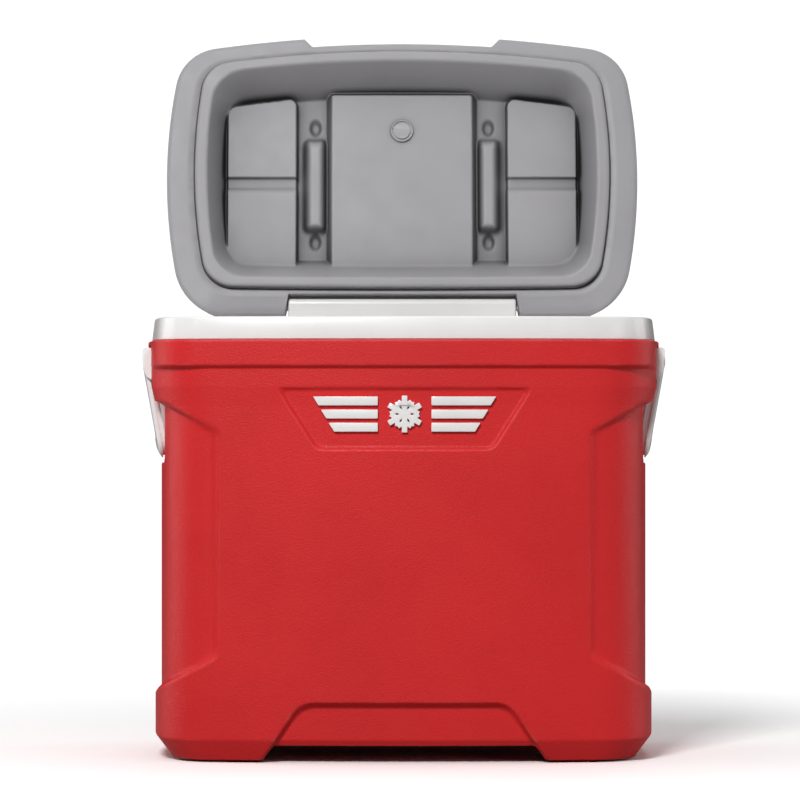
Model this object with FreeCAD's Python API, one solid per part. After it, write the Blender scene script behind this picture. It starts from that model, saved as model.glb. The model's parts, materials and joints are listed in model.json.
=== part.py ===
import FreeCAD, Part
import math
import os

from FreeCAD import Vector

# A hard cooler of about 28 litres, in millimetres: +X to its right-hand side, -Y to its front, +Z up.
# Every piece is drawn about the middle of the body's plan, with the soles of the feet at height 0. It is then
# moved so that the origin is on the ground under the middle of the whole cooler's box, which reaches further
# to the rear than the body because the lid stands open at rest.

BOX_MIDDLE_Y = 21.2

# Plan shape: every outline has crowned sides that meet tangent corner arcs.
FRONT_CROWN_RADIUS = 1270.0
REAR_CROWN_RADIUS = 12000.0
SIDE_CROWN_RADIUS = 506.0

# Heights of the body
NUB_HEIGHT = 2.2
BASE_HEIGHT = 13.4
FOOT_CHAMFER_TOP = 18.5
FOOT_TOP = 57.4
FOOT_FLARE = 8.0
PANEL_TOP = 321.0
SHOULDER_BOTTOM = 319.0
SHOULDER_TOP = 336.0
BAND_BOTTOM = 353.5
BAND_TOP = 378.0
RIM_TOP = 399.0

# Half sizes of the body, as (half width, half depth, corner radius)
BAND = (235.8, 146.0, 48.0)
UNDER_BAND = (235.6, 141.8, 64.0)
SHOULDER_EDGE = (231.4, 141.0, 62.0)
FOOT_EDGE = (229.2, 137.4, 56.0)
FOOT_FACE = (229.2, 136.6, 54.0)
FOOT_SOLE = (215.0, 127.0, 42.0)
PANEL_UPPER = (223.6, 137.2, 54.0)
PANEL_LOWER = (223.6, 133.6, 50.0)
RIM_LOWER = (232.3, 143.3, 47.0)
RIM_UPPER = (229.8, 140.6, 45.0)
RIM_ROUND = 2.0
RIM_NECK = (1.5, 1.0)
BAND_ROUND = 1.5

SHELL_WALL = 3.0
LINER_WALL = 2.5
PANEL_EDGE_X = 169.0
PANEL_EDGE_LOW = 95.0
PANEL_EDGE_HIGH = 295.0

# Opening of the body and the tub below it, which sit a little forward of the middle
MOUTH = (202.0, 119.0, 33.0)
MOUTH_Y = -6.0
TUB_FLOOR = (194.5, 110.5, 30.0)
TUB_FLOOR_Y = -4.0
TUB_FLOOR_Z = 29.5
TUB_FLOOR_ROUND = 9.0
MOUTH_ROUND = 2.0

# Recesses of the body's front
BADGE_RECESS_TOP = (112.5, 334.0)
BADGE_RECESS_BOTTOM = (78.5, 280.4)
BADGE_RECESS_DEPTH = 3.0
BADGE_THICKNESS = 3.4
BASE_RECESS_TOP = (93.0, 51.0)
BASE_RECESS_BOTTOM = (135.0, -12.0)
BASE_RECESS_DEPTH = 7.0
NUB_X = (129.0, 174.0)
NUB_Y = (97.0, 112.0)
NUB_CORNER = 7.0
FILL_HOLE_RADIUS = 9.0

# Badge: a snow crystal between two stacks of three stripes
STRIPE_LOW = 295.5
STRIPE_HEIGHT = 8.0
STRIPE_PITCH = 11.75
STRIPE_INNER_X = 24.0
STRIPE_OUTER_X = 68.0
STRIPE_OUTER_STEP = 7.0
STRIPE_SLANT = 5.0
CRYSTAL_REACH = 16.5
CRYSTAL_ARM = 5.0

# Handles, their bays and their brackets
PIVOT_X = 232.1
PIVOT_Z = 357.3
PIVOT_Y = 60.0
HUB_RADIUS = 6.3
HANDLE_LEAN = 10.3
HANDLE_DROP = 86.0
GRIP_HEIGHT = 20.0
ARM_WIDTH = 14.0
ARM_PLATE = 3.7
ARM_RIB = 4.5
HANDLE_ROUND = 2.5
HEAD_HEIGHT = 15.0
HEAD_DEPTH = 8.5
HEAD_ROUND = 3.5
ARM_TOE = (6.0, 13.0)
PIN_RADIUS = 2.5
PIN_COVER = 1.2
RUNNING_GAP = 0.05
BAY_FLOOR_X = 211.0
BAY_HALF_WIDTH = 75.0
BAY_BOTTOM = 268.0
BAY_TOP = 373.4
BAY_MIDDLE_HALF_WIDTH = 37.0
BAY_MIDDLE_LOW = 351.0
BRACKET_LOW = 341.7
BRACKET_HIGH = 372.8
BRACKET_REACH = 237.0
BRACKET_NOSE_ROUND = 12.0
CHEEK = 4.0
CHEEK_GAP = 0.3
BRACKET_BASE = 3.0
BRACKET_SCREW_Y = 17.0
BRACKET_SCREW_Z = (BRACKET_LOW + 8.0, BRACKET_HIGH - 8.0)
BRACKET_SCREW_RADIUS = 1.7
BRACKET_SCREW_HEAD = (3.2, 2.2)
BRACKET_SCREW_LENGTH = 8.5

# Lid, described closed and then turned open about the hinge axis; the fourth value of its half sizes is the
# radius of the rear corners
HINGE_Y = 126.0
HINGE_Z = 414.0
OPEN_ANGLE = 100.0
LID_FLANGE_Z = 399.4
LID_TOP_Z = 433.0
LID_EDGE = (226.0, 140.0, 44.0, 57.0)
LID_CROWN = (222.0, 136.0, 41.0, 54.0)
LID_TOP_ROUND = 13.0
LID_EDGE_ROUND = 1.5
LID_WALL = 2.5
LID_HEEL_RADIUS = 14.4
RIDGE = (200.0, 117.7, 31.0)
RIDGE_MOUTH = (187.5, 107.1, 24.0)
RIDGE_DROP = 8.0
RECESS_FLOOR = (171.0, 82.0, 20.0)
RECESS_FLOOR_Y = -5.0
RECESS_FLOOR_Z = 427.0
PAD_Z = 415.0
SIDE_PAD_Y = (-81.0, 90.0)
MIDDLE_PAD_Y = (-84.4, 90.0)
MIDDLE_PAD_X = 67.5
SIDE_PAD_X = (102.0, 168.0)
SIDE_PAD_SLANT = 8.6
GROOVE_Y = (-1.9, 9.2)
GROOVE_Z = 419.0
BAR_X = (75.0, 92.0)
BAR_Y = (-39.8, 47.6)
BAR_Z = 418.0
TACK_Y = (-54.1, 59.3)
PLUG_Y = -48.4
PLUG_FLANGE = (10.6, 2.0)
PLUG_STEM = (7.95, 1.9)
PLUG_GROOVE = (9.6, 7.8, 1.4)
TACK_Z = 428.3
LID_LINER_WALL = 2.0
NOTCH_HALF_WIDTH = 110.0
NOTCH_AHEAD = 10.5
FINGER_NOTCH_X = (94.0, 86.0)
FINGER_NOTCH_DEPTH = 9.0
FINGER_NOTCH_TOP = 424.0
BLOCK_HALF_WIDTH = 109.0
BLOCK_REACH = 8.5
BLOCK_TOP_ROUND = 5.0
BLOCK_END_ROUND = 2.0
HINGE_PIN_RADIUS = 3.0
HINGE_PIN_X = (90.0, 128.0)
HINGE_EAR_RADIUS = 6.5
BLOCK_SCREW_X = (-66.0, -22.0, 22.0, 66.0)
BLOCK_SCREW_Y = HINGE_Y + 2.0
BLOCK_SCREW_SEAT = RIM_TOP + 15.0
BLOCK_SCREW_RADIUS = 2.0
BLOCK_SCREW_HEAD = (4.0, 2.6)
BLOCK_SCREW_SEAT_RADIUS = 4.2
BLOCK_SCREW_LENGTH = 27.0
BLOCK_BOSS_RADIUS = 4.5
SCREW_CLEARANCE = 0.05


def corner_points(size, long_radius, short_radius):
    """Ends and middle of the corner arc between a long side at -Y and the short side at +X."""
    half_x, half_y, corner = size
    long_centre = Vector(0, long_radius - half_y, 0)
    short_centre = Vector(half_x - short_radius, 0, 0)
    across = short_centre - long_centre
    span = across.Length
    along = ((long_radius - corner) ** 2 - (short_radius - corner) ** 2 + span ** 2) / (2 * span)
    aside = math.sqrt((long_radius - corner) ** 2 - along ** 2)
    ahead = across * (1 / span)
    centre = long_centre + ahead * along + Vector(-ahead.y, ahead.x, 0) * aside
    long_end = centre + (centre - long_centre).normalize() * corner
    short_end = centre + (centre - short_centre).normalize() * corner
    towards_middle = (long_end + short_end) * 0.5 - centre
    return long_end, centre + towards_middle.normalize() * corner, short_end


def outline(size, z, inset=0.0, centre_y=0.0):
    """Closed plan outline at height z, offset inwards by inset. A fourth size is the rear corner radius."""
    half_x, half_y, front_corner, rear_corner = [value - inset for value in (*size[:3], size[-1])]
    front = (half_x, half_y, front_corner)
    rear = (half_x, half_y, rear_corner)
    short_radius = SIDE_CROWN_RADIUS - inset
    front_end, front_middle, front_side = corner_points(front, FRONT_CROWN_RADIUS - inset, short_radius)
    rear_end, rear_middle, rear_side = corner_points(rear, REAR_CROWN_RADIUS - inset, short_radius)

    def at(point, flip_x, flip_y):
        return Vector(point.x * flip_x, point.y * flip_y + centre_y, z)

    arcs = [
        (at(front_end, -1, 1), Vector(0, centre_y - half_y, z), at(front_end, 1, 1)),
        (at(front_end, 1, 1), at(front_middle, 1, 1), at(front_side, 1, 1)),
        (at(front_side, 1, 1), Vector(half_x, centre_y, z), at(rear_side, 1, -1)),
        (at(rear_side, 1, -1), at(rear_middle, 1, -1), at(rear_end, 1, -1)),
        (at(rear_end, 1, -1), Vector(0, centre_y + half_y, z), at(rear_end, -1, -1)),
        (at(rear_end, -1, -1), at(rear_middle, -1, -1), at(rear_side, -1, -1)),
        (at(rear_side, -1, -1), Vector(-half_x, centre_y, z), at(front_side, -1, 1)),
        (at(front_side, -1, 1), at(front_middle, -1, 1), at(front_end, -1, 1)),
    ]
    return Part.Wire([Part.Arc(*points).toShape() for points in arcs])


def loft(*wires):
    """Closed solid ruled from one outline to the next."""
    return Part.makeLoft(list(wires), True, True)


def box(low, high):
    """Box from its lowest to its highest corner."""
    size = Vector(*high) - Vector(*low)
    return Part.makeBox(size.x, size.y, size.z, Vector(*low))


def rod(start, axis, radius, length):
    """Cylinder from a start point along an axis."""
    return Part.makeCylinder(radius, length, Vector(*start), Vector(*axis))


def prism(points, along):
    """Polygon swept along a vector."""
    corners = [Vector(*point) for point in points]
    wire = Part.makePolygon(corners + corners[:1])
    return Part.Face(wire).extrude(Vector(*along))


def round_along(solid, axis, radius):
    """Round the edges of a prism that run along its axis."""
    direction = Vector(*axis)
    edges = []
    for edge in solid.Edges:
        ends = [vertex.Point for vertex in edge.Vertexes]
        if len(ends) == 2 and abs((ends[1] - ends[0]).normalize().dot(direction)) > 0.999:
            edges.append(edge)
    return solid.makeFillet(radius, edges)


def round_level(solid, z, radius):
    """Round the edges that lie at height z."""
    edges = []
    for edge in solid.Edges:
        bounds = edge.BoundBox
        if abs(bounds.ZMin - z) < 0.01 and abs(bounds.ZMax - z) < 0.01:
            edges.append(edge)
    return solid.makeFillet(radius, edges)


def both_sides(solid):
    """A solid of the right-hand side and its mirror image."""
    return [solid, solid.mirror(Vector(0, 0, 0), Vector(1, 0, 0))]


def joined(solids):
    """One clean solid from several that touch or overlap."""
    return solids[0].fuse(list(solids[1:])).removeSplitter()


def body_skin(inset):
    """The body's outside before its recesses, offset inwards by inset."""
    foot = loft(
        outline(FOOT_SOLE, inset, inset),
        outline(FOOT_FACE, FOOT_CHAMFER_TOP, inset),
        outline(FOOT_EDGE, FOOT_TOP, inset),
        outline(SHOULDER_EDGE, SHOULDER_BOTTOM, inset),
        outline(UNDER_BAND, SHOULDER_TOP, inset),
        outline(UNDER_BAND, BAND_BOTTOM + 1 + inset, inset),
    )
    band = loft(outline(BAND, BAND_BOTTOM + inset, inset), outline(BAND, BAND_TOP, inset))
    if not inset:
        band = round_level(round_level(band, BAND_TOP, BAND_ROUND), BAND_BOTTOM, BAND_ROUND)
    return joined([foot, band])


def side_panel_cutter(grow):
    """What is taken off one side and its two corners to leave the set-in panel."""
    keep = loft(outline(PANEL_LOWER, 0, grow), outline(PANEL_UPPER, BAND_TOP, grow))
    corner_x = PANEL_UPPER[0]
    far_x = BAND[0] + 20
    far_y = BAND[1] + 20
    region = prism(
        [
            (PANEL_EDGE_X - grow, -far_y, PANEL_EDGE_LOW - grow),
            (corner_x, -far_y, FOOT_TOP + FOOT_FLARE - grow),
            (FOOT_EDGE[0], -far_y, FOOT_TOP - grow),
            (far_x, -far_y, FOOT_TOP - grow),
            (far_x, -far_y, PANEL_TOP + grow),
            (corner_x - 4, -far_y, PANEL_TOP + grow),
            (PANEL_EDGE_X - grow, -far_y, PANEL_EDGE_HIGH + grow),
        ],
        (0, 2 * far_y, 0),
    )
    return region.cut(keep)


def handle_bay_cutter(grow):
    """Bay in one side for the handle, its brackets and the hand, with the band carried on between the brackets."""
    half_width = BAY_HALF_WIDTH + grow
    far_x = BAND[0] + 20
    bay = box((BAY_FLOOR_X - grow, -half_width, BAY_BOTTOM - grow), (far_x, half_width, BAY_TOP + grow))
    middle = BAY_MIDDLE_HALF_WIDTH - grow
    kept = box((BAY_FLOOR_X - 20, -middle, BAY_MIDDLE_LOW + grow), (far_x + 1, middle, BAY_TOP + 20))
    return round_along(bay, (1, 0, 0), 8).cut(round_along(kept, (1, 0, 0), 5))


def trapezoid_cutter(top, bottom, depth, grow, corner, facing=-1):
    """Trapezoid recess in the front or rear face, with a floor that follows the face."""
    far_y = -facing * (BAND[1] + 20)
    region = prism(
        [
            (-bottom[0] - grow, -far_y, bottom[1] - grow),
            (bottom[0] + grow, -far_y, bottom[1] - grow),
            (top[0] + grow, -far_y, top[1] + grow),
            (-top[0] - grow, -far_y, top[1] + grow),
        ],
        (0, far_y, 0),
    )
    return round_along(region, (0, 1, 0), corner).cut(body_skin(depth + grow))


def base_cutters(grow):
    """Recesses between the feet, at the front, at the back and underneath."""
    front = trapezoid_cutter(BASE_RECESS_TOP, BASE_RECESS_BOTTOM, BASE_RECESS_DEPTH, grow, 10)
    back = trapezoid_cutter(BASE_RECESS_TOP, BASE_RECESS_BOTTOM, BASE_RECESS_DEPTH, grow, 10, 1)
    low_x, low_z = BASE_RECESS_BOTTOM
    slope = (low_x - BASE_RECESS_TOP[0]) / (BASE_RECESS_TOP[1] - low_z)
    top = BASE_HEIGHT + grow
    top_x = low_x + grow - slope * (top - low_z)
    far_y = BAND[1] + 20
    under = prism(
        [
            (-low_x - grow, -far_y, low_z),
            (low_x + grow, -far_y, low_z),
            (top_x, -far_y, top),
            (-top_x, -far_y, top),
        ],
        (0, 2 * far_y, 0),
    )
    return [front, back, under]


def body_cutters(grow):
    """All recesses of the body, grown by the wall when they shape the inside."""
    cutters = both_sides(side_panel_cutter(grow))
    cutters += both_sides(handle_bay_cutter(grow))
    cutters.append(trapezoid_cutter(BADGE_RECESS_TOP, BADGE_RECESS_BOTTOM, BADGE_RECESS_DEPTH, grow, 5))
    cutters += base_cutters(grow)
    return cutters


def body_hollow():
    """Space between the red shell and the white liner."""
    hollow = body_skin(SHELL_WALL).common(
        box((-300, -200, 0), (300, 200, BAND_TOP - SHELL_WALL))
    )
    return hollow.cut(body_cutters(SHELL_WALL))


def rim_opening():
    """Hole in the top of the red shell, under the white rim."""
    size = [value - SHELL_WALL - LINER_WALL for value in RIM_UPPER]
    return loft(outline(size, BAND_TOP - SHELL_WALL), outline(size, BAND_TOP))


def tub(grow):
    """The food space, grown by the liner's wall for its outside."""
    space = loft(
        outline(TUB_FLOOR, TUB_FLOOR_Z - grow, -grow, TUB_FLOOR_Y),
        outline(MOUTH, RIM_TOP, -grow, MOUTH_Y),
    )
    return round_level(space, TUB_FLOOR_Z - grow, TUB_FLOOR_ROUND + grow)


def foot_nubs():
    """Four low nubs that the body stands on."""
    nubs = []
    for side_x in (-1, 1):
        for side_y in (-1, 1):
            low_x, high_x = sorted(side_x * value for value in NUB_X)
            low_y, high_y = sorted(side_y * value for value in NUB_Y)
            nub = box((low_x, low_y, -NUB_HEIGHT), (high_x, high_y, 1))
            nubs.append(round_along(nub, (0, 0, 1), NUB_CORNER))
    return nubs


def bracket_screw_places(side):
    """Points where the four bracket screws of one side enter the body."""
    places = []
    for end in (-1, 1):
        for z in BRACKET_SCREW_Z:
            places.append((side * BAY_FLOOR_X, end * (PIVOT_Y - BRACKET_SCREW_Y), z))
    return places


def bracket_screw_holes():
    """Holes of the bracket screws through the bay walls."""
    holes = []
    for side in (-1, 1):
        for x, y, z in bracket_screw_places(side):
            start = (x + side * 5, y, z)
            holes.append(rod(start, (-side, 0, 0), BRACKET_SCREW_RADIUS + SCREW_CLEARANCE, 11))
    return holes


def fill_hole():
    """Round hole in the base through which the foam is poured."""
    return rod((0, 0, 0), (0, 0, 1), FILL_HOLE_RADIUS, BASE_HEIGHT + SHELL_WALL)


def body_shell():
    """Red outer shell, open at the top."""
    solid = body_skin(0).cut(body_cutters(0)).fuse(foot_nubs())
    solid = solid.cut(body_hollow()).cut(rim_opening())
    return solid.cut(bracket_screw_holes() + [fill_hole()])


def rim_solid(inset):
    """White rim as a full block, offset inwards by inset, with a narrow neck where it meets the band."""
    neck_inset, neck_height = RIM_NECK
    if inset:
        return loft(outline(RIM_LOWER, BAND_TOP, inset), outline(RIM_UPPER, RIM_TOP - inset, inset))
    block = loft(outline(RIM_LOWER, BAND_TOP + neck_height), outline(RIM_UPPER, RIM_TOP))
    neck = loft(
        outline(RIM_LOWER, BAND_TOP, neck_inset),
        outline(RIM_LOWER, BAND_TOP + neck_height + 1, neck_inset),
    )
    return joined([round_level(block, RIM_TOP, RIM_ROUND), neck])


def block_screw_rods(radius, low, high):
    """Upright rods on the axes of the hinge block's screws."""
    return [rod((x, BLOCK_SCREW_Y, low), (0, 0, 1), radius, high - low) for x in BLOCK_SCREW_X]


def block_screw_holes():
    """Clearance holes of the hinge block's screws, from below the bosses to above the block."""
    return block_screw_rods(BLOCK_SCREW_RADIUS + SCREW_CLEARANCE, RIM_TOP - 15, LID_TOP_Z)


def body_liner():
    """White food-side liner with the rim that the lid lies on."""
    rim = rim_solid(0).cut(rim_solid(LINER_WALL))
    bosses = block_screw_rods(BLOCK_BOSS_RADIUS, RIM_TOP - 16, RIM_TOP - 1)
    solid = joined([rim, tub(LINER_WALL)] + bosses).cut(tub(0))
    solid = round_level(solid, RIM_TOP, MOUTH_ROUND)
    return solid.cut(block_screw_holes())


def body_foam():
    """Insulating foam that fills the space between shell and liner."""
    upper = joined([rim_opening(), rim_solid(LINER_WALL)])
    bosses = block_screw_rods(BLOCK_BOSS_RADIUS, RIM_TOP - 16, RIM_TOP)
    return joined([body_hollow(), upper]).cut([tub(LINER_WALL)] + bosses + bracket_screw_holes())


def base_fill_plug():
    """Flanged plug pushed into the hole in the base."""
    stem = rod((0, 0, BASE_HEIGHT), (0, 0, 1), FILL_HOLE_RADIUS - 0.1, SHELL_WALL - 0.1)
    flange = rod((0, 0, BASE_HEIGHT - 1.5), (0, 0, 1), FILL_HOLE_RADIUS + 3, 1.5)
    return joined([stem, flange])


def stripe(step):
    """One stripe of the badge's right-hand stack as a prism along Y, counted from the bottom."""
    low = STRIPE_LOW + step * STRIPE_PITCH
    high = low + STRIPE_HEIGHT
    outer_x = STRIPE_OUTER_X + step * STRIPE_OUTER_STEP
    return prism(
        [
            (STRIPE_INNER_X, -180, low),
            (outer_x - STRIPE_SLANT, -180, low),
            (outer_x, -180, high),
            (STRIPE_INNER_X, -180, high),
        ],
        (0, 100, 0),
    )


def snow_crystal():
    """Six-armed crystal as one prism along Y, level with the stripes."""
    reach = CRYSTAL_REACH
    thickness = CRYSTAL_ARM
    arms = []
    for turn in (0, 60, 120):
        arm = box((-thickness / 2, -180, -reach), (thickness / 2, -80, reach))
        for way in (-1, 1):
            for side in (-1, 1):
                twig = box((-thickness / 2.4, -180, 0), (thickness / 2.4, -80, reach * 0.46))
                twig.rotate(Vector(0, 0, 0), Vector(0, 1, 0), side * 55)
                twig.translate(Vector(0, 0, reach * 0.42))
                if way < 0:
                    twig.rotate(Vector(0, 0, 0), Vector(0, 1, 0), 180)
                arm = arm.fuse(twig)
        arm.rotate(Vector(0, 0, 0), Vector(0, 1, 0), turn)
        arms.append(arm)
    crystal = joined(arms)
    crystal.translate(Vector(0, 0, STRIPE_LOW + STRIPE_PITCH + STRIPE_HEIGHT / 2))
    return crystal


def badge():
    """Raised white badge: a snow crystal between two stacks of stripes."""
    layer = body_skin(BADGE_RECESS_DEPTH - BADGE_THICKNESS).cut(body_skin(BADGE_RECESS_DEPTH))
    pieces = [snow_crystal()]
    for step in range(3):
        pieces += both_sides(stripe(step))
    return Part.makeCompound([piece.common(layer) for piece in pieces])


def handle_layer(outer_radius, thickness):
    """Sheet that follows the crown of the body's side, in the handle's own frame."""
    axis_x = HUB_RADIUS + PIVOT_Y ** 2 / (2 * SIDE_CROWN_RADIUS) - SIDE_CROWN_RADIUS
    outer = rod((axis_x, 0, -200), (0, 0, 1), outer_radius, 300)
    inner = rod((axis_x, 0, -200), (0, 0, 1), outer_radius - thickness, 300)
    return outer.cut(inner)


def handle_loop(inset):
    """U shape of the handle as a prism along X, in the handle's own frame."""
    half_width = PIVOT_Y + ARM_WIDTH / 2 - inset
    outer = box((-20, -half_width, -HANDLE_DROP + inset), (20, half_width, 40))
    outer = round_along(outer, (1, 0, 0), 16 - inset)
    gap_half = PIVOT_Y - ARM_WIDTH / 2 + inset
    gap_low = -HANDLE_DROP + GRIP_HEIGHT - inset
    gap = round_along(box((-30, -gap_half, gap_low), (30, gap_half, 60)), (1, 0, 0), 10)
    return outer.cut([gap, box((-30, -100, 0), (30, 100, 60))])


def handle_toe_cutter():
    """Takes the outer lower edge off the grip, so that it turns in towards the body."""
    face_x = HUB_RADIUS + PIVOT_Y ** 2 / (2 * SIDE_CROWN_RADIUS)
    depth, height = ARM_TOE
    return prism(
        [
            (face_x, -100, -HANDLE_DROP + height),
            (face_x + 5, -100, -HANDLE_DROP + height),
            (face_x + 5, -100, -HANDLE_DROP - 1),
            (face_x - depth, -100, -HANDLE_DROP - 1),
        ],
        (0, 200, 0),
    )


def round_outer_face(plate, radius):
    """Round the edges of the crowned face that looks away from the body."""
    for face in plate.Faces:
        surface = face.Surface
        if isinstance(surface, Part.Cylinder) and abs(surface.Radius - SIDE_CROWN_RADIUS) < 0.01:
            return plate.makeFillet(radius, face.OuterWire.Edges)
    return plate


def handle_heads():
    """Upright ends of the handle's two arms, above the pivot."""
    heads = []
    for end in (-1, 1):
        low = (PIVOT_X + HUB_RADIUS - HEAD_DEPTH, end * PIVOT_Y - ARM_WIDTH / 2, PIVOT_Z)
        high = (PIVOT_X + HUB_RADIUS, end * PIVOT_Y + ARM_WIDTH / 2, PIVOT_Z + HEAD_HEIGHT)
        head = box(low, high)
        top_edges = [edge for edge in head.Edges if edge.BoundBox.ZMin > high[2] - 0.01 and edge.BoundBox.YLength > 1]
        heads.append(head.makeFillet(HEAD_ROUND, top_edges))
    return heads


def handle():
    """Right-hand swing-up handle, hanging at rest against the body."""
    plate = handle_loop(0).common(handle_layer(SIDE_CROWN_RADIUS, ARM_PLATE))
    plate = round_outer_face(plate, HANDLE_ROUND).cut(handle_toe_cutter())
    rib = handle_loop(2.2).common(handle_layer(SIDE_CROWN_RADIUS - ARM_PLATE, ARM_RIB))
    hubs = []
    for end in (-1, 1):
        hub = rod((0, end * PIVOT_Y - ARM_WIDTH / 2, 0), (0, 1, 0), HUB_RADIUS, ARM_WIDTH)
        hubs.append(hub)
    solid = joined([plate, rib] + hubs)
    solid.rotate(Vector(0, 0, 0), Vector(0, 1, 0), HANDLE_LEAN)
    solid.translate(Vector(PIVOT_X, 0, PIVOT_Z))
    solid = joined([solid] + handle_heads())
    return solid.cut(rod((PIVOT_X, -100, PIVOT_Z), (0, 1, 0), PIN_RADIUS + RUNNING_GAP, 200))


def handle_bracket(end):
    """Bracket with two cheeks that holds one arm of the right-hand handle."""
    cheek_near = PIVOT_Y - ARM_WIDTH / 2 - CHEEK_GAP - CHEEK
    cheek_far = PIVOT_Y + ARM_WIDTH / 2 + CHEEK_GAP
    base_low = (BAY_FLOOR_X, cheek_near - 11, BRACKET_LOW)
    base = box(base_low, (BAY_FLOOR_X + BRACKET_BASE, cheek_far + CHEEK, BRACKET_HIGH))
    pieces = [base]
    for start in (cheek_near, cheek_far):
        cheek = box((BAY_FLOOR_X, start, BRACKET_LOW), (BRACKET_REACH, start + CHEEK, BRACKET_HIGH))
        pieces.append(cheek)
    solid = joined(pieces)
    outer_edges = []
    for edge in solid.Edges:
        bounds = edge.BoundBox
        if bounds.XMin > BRACKET_REACH - 0.01 and bounds.YLength > 1:
            outer_edges.append(edge)
    solid = solid.makeFillet(BRACKET_NOSE_ROUND, outer_edges)
    solid = solid.cut(rod((PIVOT_X, 0, PIVOT_Z), (0, 1, 0), PIN_RADIUS, cheek_far + CHEEK - PIN_COVER))
    for z in BRACKET_SCREW_Z:
        start = (BAY_FLOOR_X - 1, PIVOT_Y - BRACKET_SCREW_Y, z)
        solid = solid.cut(rod(start, (1, 0, 0), BRACKET_SCREW_RADIUS + SCREW_CLEARANCE, 10))
    if end < 0:
        solid = solid.mirror(Vector(0, 0, 0), Vector(0, 1, 0))
    return solid


def handle_pin(end):
    """Pivot pin through the near cheek and the hub of one arm, and into the far cheek."""
    reach = ARM_WIDTH / 2 + CHEEK_GAP + CHEEK
    start = (PIVOT_X, end * (PIVOT_Y - reach), PIVOT_Z)
    return rod(start, (0, end, 0), PIN_RADIUS, 2 * reach - PIN_COVER)


def screw(start, axis, shank_radius, length, head_size):
    """Round-headed screw whose head sits on the start point; the axis points out of the head."""
    direction = Vector(*axis)
    base = Vector(*start)
    head_radius, head_height = head_size
    head = Part.makeCylinder(head_radius, head_height, base, direction)
    shank = Part.makeCylinder(shank_radius, length + 0.2, base + direction * 0.2, direction * -1)
    return joined([head, shank])


def bracket_screws(side):
    """The four screws that hold the two brackets of one side."""
    screws = []
    for x, y, z in bracket_screw_places(side):
        head_place = (x + side * BRACKET_BASE, y, z)
        screws.append(
            screw(head_place, (side, 0, 0), BRACKET_SCREW_RADIUS, BRACKET_SCREW_LENGTH, BRACKET_SCREW_HEAD)
        )
    return Part.makeCompound(screws)


def hinge_block():
    """White block on the rear rim that carries the lid's hinge pins."""
    low = (-BLOCK_HALF_WIDTH, HINGE_Y - BLOCK_REACH, RIM_TOP)
    high = (BLOCK_HALF_WIDTH, HINGE_Y + BLOCK_REACH, HINGE_Z + BLOCK_REACH)
    block = box(low, high)
    top_edges = []
    for edge in block.Edges:
        if edge.BoundBox.ZMin > high[2] - 0.01 and edge.BoundBox.YLength < 0.01:
            top_edges.append(edge)
    solid = block.makeFillet(BLOCK_TOP_ROUND, top_edges)
    end_edges = []
    for edge in solid.Edges:
        if edge.BoundBox.XLength < 0.01 and edge.BoundBox.ZMax > RIM_TOP + 1:
            end_edges.append(edge)
    solid = solid.makeFillet(BLOCK_END_ROUND, end_edges)
    for side in (-1, 1):
        start = (side * HINGE_PIN_X[0], HINGE_Y, HINGE_Z)
        solid = solid.cut(rod(start, (side, 0, 0), HINGE_PIN_RADIUS, 60))
    seats = block_screw_rods(BLOCK_SCREW_SEAT_RADIUS, BLOCK_SCREW_SEAT, LID_TOP_Z)
    return solid.cut(block_screw_holes() + seats)


def hinge_block_screws():
    """The four screws that hold the hinge block down on the rim."""
    screws = []
    for x in BLOCK_SCREW_X:
        seat = (x, BLOCK_SCREW_Y, BLOCK_SCREW_SEAT)
        screws.append(screw(seat, (0, 0, 1), BLOCK_SCREW_RADIUS, BLOCK_SCREW_LENGTH, BLOCK_SCREW_HEAD))
    return Part.makeCompound(screws)


def hinge_pin(side):
    """Stub pin from the block's end into the lid's ear."""
    start = (side * HINGE_PIN_X[0], HINGE_Y, HINGE_Z)
    return rod(start, (side, 0, 0), HINGE_PIN_RADIUS, HINGE_PIN_X[1] - HINGE_PIN_X[0])


def placed(shape):
    """A piece moved from the body's own axes to the cooler's origin, with the nubs on the ground."""
    return shape.translated(Vector(0, -BOX_MIDDLE_Y, NUB_HEIGHT))


def opened(solid):
    """Turn a piece of the closed lid to its open position."""
    turned = solid.copy()
    turned.rotate(Vector(0, HINGE_Y, HINGE_Z), Vector(1, 0, 0), -OPEN_ANGLE)
    return turned


def lid_heel_cutter(radius):
    """Rounds the lid's rear lower edge about the hinge axis, so that it clears the rim."""
    corner = box((-300, HINGE_Y, HINGE_Z - 40), (300, HINGE_Y + 60, HINGE_Z))
    return corner.cut(rod((-300, HINGE_Y, HINGE_Z), (1, 0, 0), radius, 600))


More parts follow.
